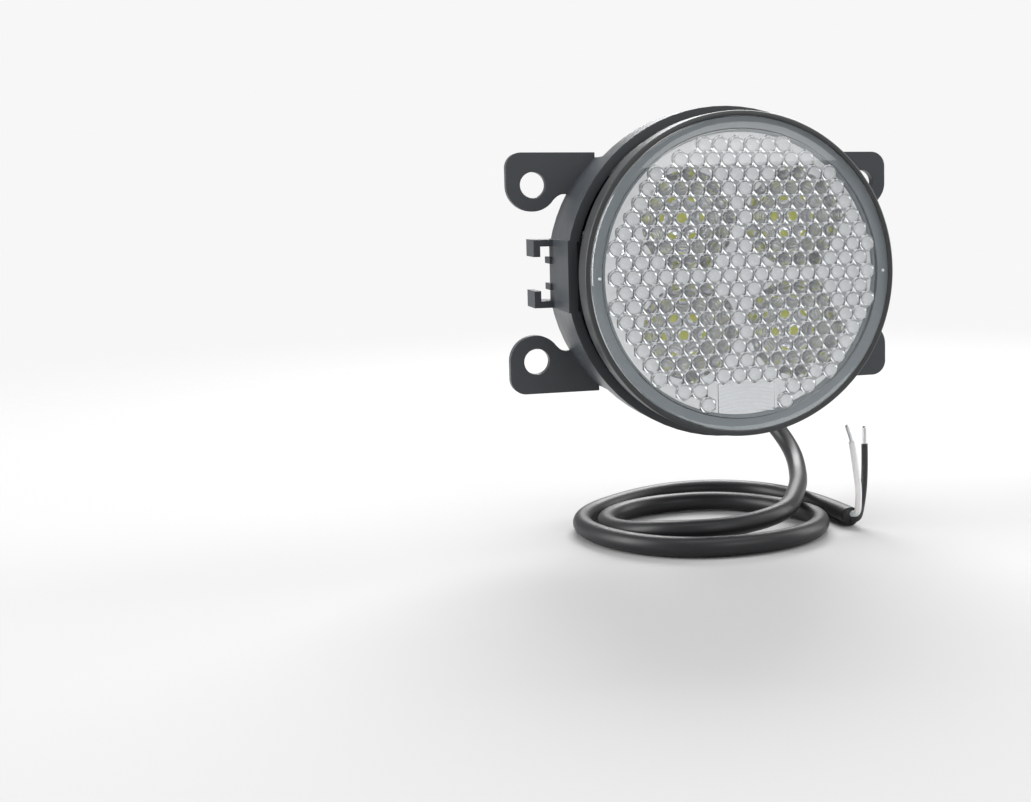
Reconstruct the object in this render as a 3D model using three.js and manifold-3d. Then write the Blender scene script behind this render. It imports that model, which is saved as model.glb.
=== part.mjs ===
// A round LED fog light on a moulded four-ear bracket.
//
// Millimetres. The origin is the centre of the plane of the ears' rear faces, on the optical axis.
// +X is to the right seen from the front, the lens faces -Y and +Z is up. The lamp (heat sink, bezel, lens
// and optics) tilts on two side pins in the bracket; the screw at the bottom sets its aim.

import * as THREE from 'three';
import { mergeVertices } from 'three/addons/utils/BufferGeometryUtils.js';
import Module from 'manifold-3d';

const wasm = await Module();
wasm.setup();

// ---------------------------------------------------------------- driving dimensions

const GAP = 0.3; // between pieces that touch
const SWING = 2.5; // room in front of the bracket's rear parts for the lamp's tilt

const EAR = { holeX: 53.5, holeZ: 26.5, holeR: 3.9, outerX: 61.5, topZ: 36.2, thick: 3, lobeR: 7.7, cornerR: 4.6 };
const RING = { outerR: 49, innerR: 46.1, flangeR: 45.2, frontY: -25.7, rearY: -13.4, flangeT: 2.2 };
const WALL = { outerR: 45.2, innerR: 43.4, rearY: 6.6, insideX: 34.5 }; // inner wall between the ears
const BOX = { innerX: 36.1, outerX: 48.4, halfZ: 11.2, plateHalfZ: 10.4, frontY: -23.5, rearY: 6.4 }; // boxes on the centre line
const HOOK = { outerX: 54.2, armZ: 10.2, thick: 2, legZ: 5.1, frontY: -5.2, rearY: 6 };
const RIB = { z: 3.95, thick: 2, outerX: 49.2, frontY: -4, rearY: 2.9 };
const WELL = { x: 40.9, r: 4.05, floorY: -14.4 };

const PIVOT = { y: -20, pinR: 2, pinOuterX: 38.4, slotOuterX: 38.9 };
const ADJUST = { z: -42, bossY: -4.8, wellR: 4.3, wellFloorY: -7.6, shankR: 2, frontY: -24 };
const BOSS = { topZ: -37.4, topHalfX: 8.4, halfX: 10.6, shoulderZ: -43 };

const TUB = { outerR: 44.2, innerR: 41.5, frontY: -35.9, floorY: -28.5, channelY: -10, wellR: 33, wellY: -22.4 };
const DRIVER = { halfX: 9.5, halfZ: 26, floorY: -13, cornerR: 3, boardY: -20.8 }; // pocket behind the LED board
const DOME = { r: 44.2, baseY: -13.4, height: 42.8, power: 2.3 };
const FIN_X = [-35.6, -24.3, -13, 0, 13, 24.3, 35.6];
const FIN_T = 2.3; // at the crown; the fins thicken by the draft towards the channels' floors
const FIN_DRAFT = Math.tan(THREE.MathUtils.degToRad(3));
const POCKET = { halfX: 12, halfZ: 12.2, floorY: 5, cornerR: 2, webT: 2.3 };

const BEZEL = { outerR: 46.9, frontY: -40.3, rearY: -31.9 };
const LENS = { r: 45.1, frontY: -41.4, thick: 3, bevel: 1.9, skirtY: -37.2 };
const CUP = { x: 16, z: 15.6, mouthR: 14.1, throatR: 4.4, mouthY: -35.9, throatY: -25.5, wall: 0.8 };
const TRAY = { r: 41, frontY: -37, rearY: -36.2 };
const BOARD = { r: 32.4, frontY: -24.9, rearY: -23.5 };
const BOARD_SCREW_R = 29.5; // radius of the circle of board screws
const BOARD_SCREW_ANGLES = [15, 90, 195, 270];

const CABLE_R = 2.95;
const WIRE_R = 1;
const MOUTH_Y = 13; // where the cable leaves its boot
const COIL = { x: 0, y: -3, z: -78, outerR: 44.2, innerR: 28.5 };

// Route of the free cable from the boot's mouth to the coil, where it lies on the first turn.
const DROP_ROUTE = [
  [0, 13.8, 0], [0.8, 20.5, -0.8], [3.5, 29.5, -4.5], [8.5, 38, -13], [13.5, 43, -24], [20.5, 46, -35],
  [29.5, 45, -46], [37.5, 38, -57], [40, 27, -65], [37, 14, -69.5], [32, 1, -71], [28.3, -6.5, -71.6],
];
// The two wires that stand up from the end of the jacket, and their stripped, tinned tips.
const WHITE_ROUTE = [[41.9, -23.4, -76.9], [42.2, -24.2, -73.5], [42.1, -24.5, -68.5], [41.1, -24.5, -61], [40, -24.5, -54]];
const BLACK_ROUTE = [[42.5, -21.4, -79], [44.4, -21, -75.5], [45.7, -20.5, -69.5], [46.3, -20, -62], [46.3, -20, -55.5]];
const WHITE_TIP = [[39.9, -24.5, -53.7], [38.2, -24.8, -48.7]];
const BLACK_TIP = [[46.3, -20, -55.2], [46.3, -20, -50.2]];

// ---------------------------------------------------------------- solids

function closed(geometry) {
  const bare = geometry.index ? geometry.toNonIndexed() : geometry.clone();
  bare.deleteAttribute('normal');
  bare.deleteAttribute('uv');
  const merged = mergeVertices(bare, 1e-4);
  const index = merged.index.array;
  const place = merged.attributes.position;
  const kept = [];
  let volume = 0;
  const [a, b, c] = [new THREE.Vector3(), new THREE.Vector3(), new THREE.Vector3()];
  for (let i = 0; i < index.length; i += 3) {
    const [p, q, r] = [index[i], index[i + 1], index[i + 2]];
    if (p === q || q === r || r === p) continue;
    kept.push(p, q, r);
    a.fromBufferAttribute(place, p);
    b.fromBufferAttribute(place, q);
    c.fromBufferAttribute(place, r);
    volume += a.dot(b.clone().cross(c));
  }
  if (volume < 0) kept.reverse();
  merged.setIndex(kept);
  return merged;
}

function solid(geometry) {
  const mesh = closed(geometry);
  return new wasm.Manifold(new wasm.Mesh({
    numProp: 3,
    vertProperties: new Float32Array(mesh.attributes.position.array),
    triVerts: new Uint32Array(mesh.index.array),
  }));
}

function join(first, ...others) {
  return others.reduce((all, next) => all.add(next), first);
}

function cut(first, ...others) {
  return others.reduce((left, next) => left.subtract(next), first);
}

// A turned solid: [radius, y] points, about the Y axis moved to (x, z).
function turned(points, segments = 48, x = 0, z = 0) {
  const profile = points.map(([r, y]) => new THREE.Vector2(r, y));
  return solid(new THREE.LatheGeometry(profile, segments).translate(x, 0, z));
}

function tubeProfile(innerR, outerR, y0, y1) {
  return [[innerR, y0], [outerR, y0], [outerR, y1], [innerR, y1], [innerR, y0]];
}

function rodY(r, y0, y1, x = 0, z = 0, segments = 32) {
  return turned([[0, y0], [r, y0], [r, y1], [0, y1]], segments, x, z);
}

function rodX(r, x0, x1, y, z, segments = 24) {
  const rod = new THREE.CylinderGeometry(r, r, Math.abs(x1 - x0), segments).rotateZ(Math.PI / 2);
  return solid(rod.translate((x0 + x1) / 2, y, z));
}

function block(x0, x1, y0, y1, z0, z1) {
  const [w, d, h] = [Math.abs(x1 - x0), Math.abs(y1 - y0), Math.abs(z1 - z0)];
  return solid(new THREE.BoxGeometry(w, d, h).translate((x0 + x1) / 2, (y0 + y1) / 2, (z0 + z1) / 2));
}

// A plate: an outline drawn in X and Z, given thickness from y0 to y1.
function plate(shape, y0, y1, curveSegments = 12) {
  const geometry = new THREE.ExtrudeGeometry(shape, { depth: y1 - y0, bevelEnabled: false, curveSegments });
  return solid(geometry.rotateX(Math.PI / 2).translate(0, y1, 0));
}

function roundedRectangle(halfX, halfZ, r) {
  const shape = new THREE.Shape();
  shape.moveTo(halfX, -halfZ + r);
  shape.absarc(halfX - r, halfZ - r, r, 0, Math.PI / 2);
  shape.absarc(-halfX + r, halfZ - r, r, Math.PI / 2, Math.PI);
  shape.absarc(-halfX + r, -halfZ + r, r, Math.PI, 1.5 * Math.PI);
  shape.absarc(halfX - r, -halfZ + r, r, 1.5 * Math.PI, 2 * Math.PI);
  return shape;
}

// A straight or curved round tube through the route's points.
function cord(route, r, steps, sides = 8) {
  const curve = new THREE.CatmullRomCurve3(route.map((p) => new THREE.Vector3(...p)), false, 'centripetal');
  const ring = [];
  for (let i = 0; i < sides; i += 1) {
    const a = (2 * Math.PI * i) / sides;
    ring.push(new THREE.Vector2(r * Math.cos(a), r * Math.sin(a)));
  }
  const section = new THREE.Shape(ring);
  return solid(new THREE.ExtrudeGeometry(section, { extrudePath: curve, steps, bevelEnabled: false }));
}

// ---------------------------------------------------------------- model

const model = new THREE.Group();

function piece(name, shape, colour, roughness = 0.5, metalness = 0) {
  const { vertProperties, triVerts } = shape.getMesh();
  const geometry = new THREE.BufferGeometry();
  geometry.setAttribute('position', new THREE.BufferAttribute(vertProperties, 3));
  geometry.setIndex(new THREE.BufferAttribute(triVerts, 1));
  const mesh = new THREE.Mesh(geometry, new THREE.MeshStandardMaterial({ color: colour, roughness, metalness }));
  mesh.name = name;
  model.add(mesh);
}

const COLOUR = {
  bracket: 0x4a4d50, casting: 0x2b2e30, bezel: 0x56585a, clear: 0xe6ebec, rubber: 0x1c1d1e, silver: 0xdfe3e4,
  board: 0xeeeeea, led: 0xd8d23a, steel: 0x3a3b3d, nylon: 0xd9d6c8, jacket: 0x26282a, white: 0xf1f2f2,
  tin: 0xc9cbcc, chip: 0x202022, pad: 0x8b93a0,
};

// ---------------------------------------------------------------- bracket

// One ear, at the top on the +X side, from the lamp's wall out to the round lobe below its hole. The lobe runs
// into the ear's inner edge in a hollow curve.
function earShape() {
  const shape = new THREE.Shape();
  const { outerX, topZ, lobeR, cornerR } = EAR;
  const lobe = { x: outerX - lobeR, z: EAR.holeZ - 0.2 };
  const innerEdge = { x: 44.3, z: 23.7 };
  shape.moveTo(WALL.insideX, topZ);
  shape.lineTo(outerX - cornerR, topZ);
  shape.absarc(outerX - cornerR, topZ - cornerR, cornerR, Math.PI / 2, 0, true);
  shape.absarc(lobe.x, lobe.z, lobeR, 0, -0.77 * Math.PI, true);
  shape.quadraticCurveTo(innerEdge.x + 1.9, innerEdge.z, innerEdge.x, innerEdge.z);
  shape.lineTo(WALL.insideX, innerEdge.z);
  return shape;
}

function mirrored(shape, sideX, sideZ) {
  return shape.scale([sideX, 1, sideZ]);
}

// The same box on both sides of the lamp, and above and below too when it doesn't straddle the centre line.
function onEachSide(x0, x1, y0, y1, z0, z1) {
  const boxes = [block(x0, x1, y0, y1, z0, z1), block(-x0, -x1, y0, y1, z0, z1)];
  if (z0 > 0) boxes.push(block(x0, x1, y0, y1, -z0, -z1), block(-x0, -x1, y0, y1, -z0, -z1));
  return join(...boxes);
}

// A rib: its outline drawn in X and Y, given thickness from z0 to z1.
function gusset(points, z0, z1) {
  const outline = new THREE.Shape(points.map(([x, y]) => new THREE.Vector2(x, y)));
  return solid(new THREE.ExtrudeGeometry(outline, { depth: z1 - z0, bevelEnabled: false }).translate(0, 0, z0));
}

// One ear with the ribs that stiffen its rear face.
function ear() {
  const { holeX, holeZ, holeR, topZ, thick } = EAR;
  const inside = WALL.insideX + 0.2;
  const rearY = WALL.rearY;
  return join(
    cut(plate(earShape(), -thick, 0), rodY(holeR, -10, 10, holeX, holeZ)),
    gusset([[inside, 0.2 - thick], [47.4, 0.2 - thick], [47.4, 0.4], [44.7, rearY], [inside, rearY]], topZ - 1.7, topZ - 0.1),
    block(inside, inside + 2.8, 0.3 - thick, rearY - 0.1, 26.8, topZ - 0.3),
    block(36, 43, 0.4 - thick, 1.3, 23.7, 25.2),
  );
}

// The box on the +X side that holds the pivot, its screw's well, the slots, the ribs and the two hooks.
function sideBox() {
  const { innerX, outerX, halfZ, plateHalfZ, frontY, rearY } = BOX;
  const slotX = [42, 46];
  const recessX = 43; // outside this the box ends in the plane of the ears' rear faces
  let box = join(
    block(innerX, recessX, frontY, rearY, -halfZ, halfZ),
    block(recessX - 0.5, 45.8, frontY, 0, -halfZ, halfZ),
    block(45.6, outerX, RING.frontY, 0, -plateHalfZ, plateHalfZ),
  );
  box = cut(box, block(slotX[0], outerX + 2, 0, rearY + 1, -8.2, 8.2));
  for (const side of [-1, 1]) {
    box = cut(box, block(slotX[0], slotX[1], -18, 0.5, side * 5, side * 8.2));
    box = join(
      box,
      block(slotX[0] - 1, RIB.outerX, RIB.frontY, RIB.rearY, side * RIB.z - RIB.thick / 2, side * RIB.z + RIB.thick / 2),
      block(recessX - 0.7, HOOK.outerX, HOOK.frontY, HOOK.rearY, side * (HOOK.armZ - HOOK.thick), side * HOOK.armZ),
      block(HOOK.outerX - HOOK.thick, HOOK.outerX, HOOK.frontY, HOOK.rearY, side * HOOK.legZ, side * HOOK.armZ),
    );
  }
  const pilotR = 1.75 + 0.1;
  return cut(
    box,
    rodY(pilotR, -23.1, 0, WELL.x, 0, 20),
    block(innerX - 1, PIVOT.slotOuterX, -30, -15.9, -4.4, 4.4),
  );
}

function bracket() {
  const flangeFrontY = RING.rearY - RING.flangeT;
  const ring = turned([
    [RING.innerR, RING.frontY], [RING.outerR, RING.frontY], [RING.outerR, RING.rearY], [RING.flangeR, RING.rearY],
    [RING.flangeR, flangeFrontY], [RING.innerR, flangeFrontY], [RING.innerR, RING.frontY],
  ], 72);
  const bossOutline = new THREE.Shape([
    new THREE.Vector2(-BOSS.topHalfX, BOSS.topZ), new THREE.Vector2(BOSS.topHalfX, BOSS.topZ),
    new THREE.Vector2(BOSS.halfX, BOSS.shoulderZ), new THREE.Vector2(BOSS.halfX, -60),
    new THREE.Vector2(-BOSS.halfX, -60), new THREE.Vector2(-BOSS.halfX, BOSS.shoulderZ),
  ]);
  const boss = plate(bossOutline, flangeFrontY + 0.3, ADJUST.bossY)
    .intersect(rodY(RING.outerR - 0.1, -30, 0, 0, 0, 72));
  const sideFlange = rodY(RING.outerR, flangeFrontY + 0.2, -0.1, 0, 0, 72)
    .intersect(onEachSide(WALL.insideX + 0.1, 60, -30, 5, 0.2 - EAR.topZ, EAR.topZ - 0.2));
  const innerWall = rodY(WALL.outerR, flangeFrontY + 0.1, WALL.rearY, 0, 0, 72)
    .intersect(onEachSide(WALL.insideX + 0.1, 60, -30, 10, -30, 30));
  const openForBox = onEachSide(BOX.innerX + 0.4, BOX.outerX + 2, RING.frontY - 1, 10, 0.4 - BOX.plateHalfZ, BOX.plateHalfZ - 0.4);
  let shape = join(ring, boss, sideFlange, innerWall);
  for (const side of [-1, 1]) {
    shape = join(shape, mirrored(ear(), side, 1), mirrored(ear(), side, -1));
  }
  shape = cut(shape, rodY(WALL.innerR, -60, 60, 0, 0, 72), openForBox);
  for (const side of [-1, 1]) {
    shape = join(shape, mirrored(sideBox(), side, 1));
    shape = cut(shape, rodY(WELL.r, WELL.floorY, 20, side * WELL.x, 0));
  }
  return cut(
    shape,
    rodY(ADJUST.wellR, ADJUST.wellFloorY, 0, 0, ADJUST.z),
    rodY(ADJUST.shankR + GAP, -30, 0, 0, ADJUST.z),
  );
}

piece('bracket', bracket(), COLOUR.bracket, 0.45);

function sideName(side) {
  return side > 0 ? 'right' : 'left';
}

// A pan-head screw along Y with a six-lobe socket; its head faces +Y.
function socketScrew(headR, headY0, headY1, shankR, endY, x, z) {
  const head = rodY(headR, headY0, headY1, x, z, 24);
  const shank = rodY(shankR, endY, headY0 + 0.2, x, z, 16);
  let socket = rodY(headR * 0.36, headY1 - 1.1, headY1 + 1, x, z, 12);
  for (let i = 0; i < 6; i += 1) {
    const a = (i * Math.PI) / 3;
    const lobe = rodY(headR * 0.14, headY1 - 1.1, headY1 + 1, x + headR * 0.38 * Math.cos(a), z + headR * 0.38 * Math.sin(a), 8);
    socket = join(socket, lobe);
  }
  return cut(join(head, shank), socket);
}

for (const side of [-1, 1]) {
  const bearing = cut(
    block(side * (BOX.innerX + 0.3), side * (PIVOT.slotOuterX - 0.3), -23.6, -16.2, -4.1, 4.1),
    rodX(PIVOT.pinR + 0.15, side * 30, side * 45, PIVOT.y, 0),
  );
  piece(`pivot_bearing_${sideName(side)}`, bearing, COLOUR.nylon, 0.5);
  piece(
    `bracket_screw_${sideName(side)}`,
    socketScrew(3.5, WELL.floorY + GAP, -11.7, 1.55, -22.6, side * WELL.x, 0),
    COLOUR.steel, 0.35, 0.8,
  );
}

// ---------------------------------------------------------------- lamp: heat sink and what is sealed in it

function domeProfile() {
  const points = [];
  const steps = 12;
  for (let i = 0; i <= steps; i += 1) {
    const a = (i / steps) * (Math.PI / 2);
    const r = DOME.r * Math.cos(a) ** (2 / DOME.power);
    const y = DOME.baseY + DOME.height * Math.sin(a) ** (2 / DOME.power);
    points.push([i === steps ? 0 : r, y]);
  }
  return points;
}

// A channel between two fins: as wide as x0 to x1 at the dome's crown, narrowing to its floor.
function channel(x0, x1, z0, z1) {
  const crownY = DOME.baseY + DOME.height;
  const lean = (crownY - TUB.channelY) * FIN_DRAFT;
  const above = 20;
  const outline = new THREE.Shape([
    new THREE.Vector2(x0 + lean, -TUB.channelY), new THREE.Vector2(x1 - lean, -TUB.channelY),
    new THREE.Vector2(x1 + above * FIN_DRAFT, -crownY - above), new THREE.Vector2(x0 - above * FIN_DRAFT, -crownY - above),
  ]);
  const geometry = new THREE.ExtrudeGeometry(outline, { depth: Math.abs(z1 - z0), bevelEnabled: false });
  return solid(geometry.rotateX(Math.PI)).translate([0, 0, Math.max(z0, z1)]);
}

function heatSink() {
  const { outerR, innerR, frontY, floorY, wellR, wellY } = TUB;
  let body = turned([
    [0, wellY], [wellR, wellY], [wellR, floorY], [innerR, floorY], [innerR, frontY], [outerR, frontY], ...domeProfile(),
  ], 72);
  const half = FIN_T / 2;
  for (let i = 0; i + 1 < FIN_X.length; i += 1) {
    const [x0, x1] = [FIN_X[i] + half, FIN_X[i + 1] - half];
    const middle = Math.abs(x0 + x1) / 2 < POCKET.halfX;
    if (middle) {
      const webZ = POCKET.halfZ + POCKET.webT;
      body = cut(body, channel(x0, x1, webZ, 60), channel(x0, x1, -60, -webZ));
    } else {
      body = cut(body, channel(x0, x1, -60, 60));
    }
  }
  body = cut(
    body,
    plate(roundedRectangle(POCKET.halfX, POCKET.halfZ, POCKET.cornerR), POCKET.floorY, 60, 6),
    plate(roundedRectangle(DRIVER.halfX, DRIVER.halfZ, DRIVER.cornerR), wellY - 1, DRIVER.floorY, 6),
  );
  const wallRoom = turned(tubeProfile(WALL.innerR - 1.1, 60, RING.rearY - RING.flangeT - SWING, 60), 72);
  for (const side of [-1, 1]) {
    const wallSpan = block(side * (WALL.insideX - 1), side * 60, -40, 60, -38, 38);
    body = cut(
      body,
      wallRoom.intersect(wallSpan),
      block(side * (BOX.innerX - 0.7), side * 60, -24.3, 60, -BOX.halfZ - 1.7, BOX.halfZ + 1.7),
    );
    body = cut(body, rodX(PIVOT.pinR + 0.1, side * 30, side * 60, PIVOT.y, 0));
  }
  return cut(
    body,
    block(-BOSS.halfX - 0.8, BOSS.halfX + 0.8, RING.rearY - RING.flangeT - SWING, 60, -60, BOSS.topZ + 1.2),
    block(-5.2, 5.2, -26.5, 0, -60, -38.6),
    rodY(CABLE_R + 0.35, -40, 20, 0, 0, 24),
    ...boardScrewPlaces().map(([x, z]) => rodY(1.45, -26, -18.5, x, z, 12)),
  );
}

function boardScrewPlaces() {
  const angles = BOARD_SCREW_ANGLES.map((degrees) => THREE.MathUtils.degToRad(degrees));
  return angles.map((a) => [BOARD_SCREW_R * Math.cos(a), BOARD_SCREW_R * Math.sin(a)]);
}

piece('heat_sink', heatSink(), COLOUR.casting, 0.55, 0.3);

for (const side of [-1, 1]) {
  const pin = rodX(PIVOT.pinR, side * 30.3, side * PIVOT.pinOuterX, PIVOT.y, 0);
  piece(`pivot_pin_${sideName(side)}`, pin, COLOUR.steel, 0.3, 0.9);
}

piece('bezel_ring', turned([
  [45.4, -37], [45.4, BEZEL.frontY], [46.2, BEZEL.frontY], [BEZEL.outerR, BEZEL.frontY + 0.7], [BEZEL.outerR, BEZEL.rearY],
  [44.5, BEZEL.rearY], [44.5, -37], [45.4, -37],
], 64), COLOUR.bezel, 0.4);

piece('lens', turned([
  [0, LENS.frontY], [LENS.r - LENS.bevel, LENS.frontY], [LENS.r, LENS.frontY + 0.9], [LENS.r, LENS.skirtY],
  [42, LENS.skirtY], [42, LENS.frontY + LENS.thick], [0, LENS.frontY + LENS.thick],
], 64), COLOUR.clear, 0.05);

piece('lens_gasket', turned(tubeProfile(42.2, 44.1, -36.8, -36.2), 48), COLOUR.rubber, 0.8);

const CUP_PLACES = [[-1, 1, 'upper_left'], [1, 1, 'upper_right'], [-1, -1, 'lower_left'], [1, -1, 'lower_right']];

let tray = rodY(TRAY.r, TRAY.frontY, TRAY.rearY, 0, 0, 48);
for (const [sx, sz] of CUP_PLACES) {
  tray = cut(tray, rodY(CUP.mouthR - 0.3, -40, -30, sx * CUP.x, sz * CUP.z, 28));
}
piece('reflector_plate', tray, COLOUR.silver, 0.2, 0.8);

function cupProfile() {
  const outer = [];
  const inner = [];
  const steps = 4;
  for (let i = 0; i <= steps; i += 1) {
    const t = i / steps;
    const r = CUP.throatR + (CUP.mouthR - CUP.throatR) * t ** 0.62;
    const y = CUP.throatY + (CUP.mouthY - CUP.throatY) * t;
    outer.push([r + CUP.wall, y]);
    inner.push([r, y]);
  }
  return [...outer, ...inner.reverse(), outer[0]];
}

for (const [sx, sz, place] of CUP_PLACES) {
  const [x, z] = [sx * CUP.x, sz * CUP.z];
  piece(`reflector_cup_${place}`, turned(cupProfile(), 28, x, z), COLOUR.silver, 0.15, 0.9);
  piece(`led_${place}`, rodY(CUP.throatR - 0.5, -26, BOARD.frontY - GAP, x, z, 24), COLOUR.led, 0.3);
}

let board = rodY(BOARD.r, BOARD.frontY, BOARD.rearY, 0, 0, 48);
let pad = rodY(31.5, -23.2, -22.7, 0, 0, 48);
boardScrewPlaces().forEach(([x, z], i) => {
  board = cut(board, rodY(1.6, -40, -20, x, z, 16));
  pad = cut(pad, rodY(1.7, -40, -20, x, z, 16));
  const screw = join(rodY(2.3, -26.5, -25.2, x, z, 20), rodY(1.1, -25.4, -19, x, z, 12));
  const slot = block(x - 0.4, x + 0.4, -27, -25.8, z - 1.6, z + 1.6);
  piece(`board_screw_${i + 1}`, cut(screw, slot), COLOUR.steel, 0.35, 0.8);
});
const wireHole = rodY(CABLE_R + 0.35, -40, -10, 0, 0, 24);
piece('led_board', cut(board, wireHole), COLOUR.board, 0.5);
piece('thermal_pad', cut(pad, wireHole), COLOUR.pad, 0.9);

piece('terminal_block', block(-4.2, 4.2, -30.2, BOARD.frontY - GAP, -3.6, 3.6), COLOUR.nylon, 0.5);

const driverBack = DRIVER.boardY + 1.2 + GAP;
piece('driver_board', cut(
  plate(roundedRectangle(DRIVER.halfX - 0.8, DRIVER.halfZ - 0.8, 2), DRIVER.boardY, DRIVER.boardY + 1.2, 4),
  wireHole,
), COLOUR.board, 0.5);
piece('driver_inductor', block(-4.5, 4.5, driverBack, driverBack + 5, 9, 18), COLOUR.chip, 0.6);
piece('driver_capacitor', rodY(4, driverBack, driverBack + 5.6, 0, -12, 24), COLOUR.tin, 0.3, 0.7);
piece('driver_chip', block(-3, 3, driverBack, driverBack + 1.4, -23.4, -18.4), COLOUR.chip, 0.6);

// ---------------------------------------------------------------- aim adjuster at the bottom

function adjusterScrew() {
  const headY = [ADJUST.wellFloorY + GAP, ADJUST.bossY - 0.4];
  let head = rodY(2.9, headY[0], headY[1], 0, ADJUST.z, 24);
  const teeth = 8;
  for (let i = 0; i < teeth; i += 1) {
    const a = (2 * Math.PI * i) / teeth;
    head = join(head, rodY(0.75, headY[0], headY[1], 2.85 * Math.cos(a), ADJUST.z + 2.85 * Math.sin(a), 10));
  }
  head = cut(
    head,
    block(-0.5, 0.5, headY[1] - 1.2, 0, ADJUST.z - 2, ADJUST.z + 2),
    block(-2, 2, headY[1] - 1.2, 0, ADJUST.z - 0.5, ADJUST.z + 0.5),
  );
  const shank = turned([
    [0, ADJUST.frontY], [1.4, ADJUST.frontY], [ADJUST.shankR, ADJUST.frontY + 0.8], [ADJUST.shankR, -16.7],
    [1.4, -16.7], [1.4, -15.9], [ADJUST.shankR, -15.9], [ADJUST.shankR, headY[0] + 0.2], [0, headY[0] + 0.2],
  ], 24, 0, ADJUST.z);
  return join(head, shank);
}

piece('adjuster_screw', adjusterScrew(), COLOUR.steel, 0.35, 0.8);
piece('adjuster_clip', turned(tubeProfile(1.7, 2.8, -16.5, -16), 24, 0, ADJUST.z), COLOUR.steel, 0.3, 0.9);
piece('adjuster_nut', cut(
  block(-4.8, 4.8, -23.6, -19.2, -46, -39),
  rodY(ADJUST.shankR + 0.4, -30, -10, 0, ADJUST.z, 24),
).intersect(rodY(44.1, -40, 0, 0, 0, 72)), COLOUR.nylon, 0.5);

// ---------------------------------------------------------------- cable

piece('cable_boot', turned([
  [3.3, POCKET.floorY + GAP], [6.6, POCKET.floorY + GAP], [6.6, 6.8], [5.6, 7.3], [5.3, 12.5], [4.9, MOUTH_Y], [4.2, MOUTH_Y],
  [3.3, 10.5], [3.3, POCKET.floorY + GAP],
], 32), COLOUR.rubber, 0.6);
piece('cable_entry', rodY(CABLE_R, BOARD.rearY + 0.6, MOUTH_Y - 0.2, 0, 0, 20), COLOUR.jacket, 0.5);

piece('cable_drop', cord(DROP_ROUTE, CABLE_R, 24), COLOUR.jacket, 0.5);
function coilRing() {
  const { x, y, z, outerR, innerR } = COIL;
  const height = 2 * CABLE_R;
  const profile = [[innerR, -height / 2], [outerR, -height / 2], [outerR, height / 2], [innerR, height / 2], [innerR, -height / 2]];
  const ring = new THREE.LatheGeometry(profile.map(([r, h]) => new THREE.Vector2(r, h)), 48);
  return solid(ring.rotateX(Math.PI / 2).translate(x, y, z));
}
piece('cable_coil', coilRing(), COLOUR.jacket, 0.5);
piece('white_wire', cord(WHITE_ROUTE, WIRE_R, 10), COLOUR.white, 0.5);
piece('black_wire', cord(BLACK_ROUTE, WIRE_R, 10), COLOUR.jacket, 0.5);
piece('white_wire_end', cord(WHITE_TIP, 0.6, 2), COLOUR.tin, 0.3, 0.9);
piece('black_wire_end', cord(BLACK_TIP, 0.6, 2), COLOUR.tin, 0.3, 0.9);

export default model;
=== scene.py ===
"""Looks for the fog light: a round LED lamp in a plastic bracket, with its cable coiled below.

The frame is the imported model's: X to the right seen from the front, -Y out of the lens, Z up, origin on the
optical axis in the plane of the ears' rear faces. The shapes are in mm, and MM turns them into Blender's
metres.
"""

import math

import bmesh
import bpy
import numpy as np
from mathutils import Matrix, Vector


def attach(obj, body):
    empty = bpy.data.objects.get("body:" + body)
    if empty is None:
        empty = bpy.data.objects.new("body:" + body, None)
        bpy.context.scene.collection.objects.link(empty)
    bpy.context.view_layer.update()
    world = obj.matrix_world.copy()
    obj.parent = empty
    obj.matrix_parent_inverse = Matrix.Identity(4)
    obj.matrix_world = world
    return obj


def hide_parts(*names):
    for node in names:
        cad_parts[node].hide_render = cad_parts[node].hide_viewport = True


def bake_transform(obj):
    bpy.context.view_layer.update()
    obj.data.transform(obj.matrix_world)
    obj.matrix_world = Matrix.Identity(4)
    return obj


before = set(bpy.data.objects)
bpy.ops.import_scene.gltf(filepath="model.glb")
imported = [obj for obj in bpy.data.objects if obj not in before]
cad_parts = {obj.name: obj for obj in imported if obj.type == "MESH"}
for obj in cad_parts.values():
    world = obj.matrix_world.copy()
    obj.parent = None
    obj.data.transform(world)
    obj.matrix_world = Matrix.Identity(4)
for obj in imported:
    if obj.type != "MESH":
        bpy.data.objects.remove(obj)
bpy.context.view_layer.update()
MM = 0.001

# ---------------------------------------------------------------- camera, at the photograph's viewing angle

CAMERA = {
    "azimuth": -19.17, "elevation": 4.60, "roll": -0.74, "distance": 413.9, "side": 2.55, "rise": 11.02,
    "focal": 1444.3, "centre": (737.4, 313.0), "target_y": -41.4,
}
IMAGE = (1031, 802)


def make_camera():
    a = math.radians(CAMERA["azimuth"])
    e = math.radians(CAMERA["elevation"])
    r = math.radians(CAMERA["roll"])
    back = Vector((math.sin(a) * math.cos(e), -math.cos(a) * math.cos(e), math.sin(e)))
    level = (-back).cross(Vector((0, 0, 1))).normalized()
    upright = level.cross(-back)
    right = level * math.cos(r) + upright * math.sin(r)
    up = upright * math.cos(r) - level * math.sin(r)
    place = back * CAMERA["distance"] - right * CAMERA["side"] - up * CAMERA["rise"]
    place.y += CAMERA["target_y"]
    data = bpy.data.cameras.new("camera")
    data.sensor_width = 36
    data.lens = CAMERA["focal"] / IMAGE[0] * data.sensor_width
    data.shift_x = (IMAGE[0] / 2 - CAMERA["centre"][0]) / IMAGE[0]
    data.shift_y = (CAMERA["centre"][1] - IMAGE[1] / 2) / IMAGE[0]
    data.clip_start = 0.01
    data.clip_end = 20
    camera = bpy.data.objects.new("camera", data)
    rotation = Matrix((right, up, back)).transposed()
    camera.matrix_world = Matrix.Translation(place * MM) @ rotation.to_4x4()
    bpy.context.scene.collection.objects.link(camera)
    bpy.context.scene.camera = camera


make_camera()

# ---------------------------------------------------------------- materials


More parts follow.
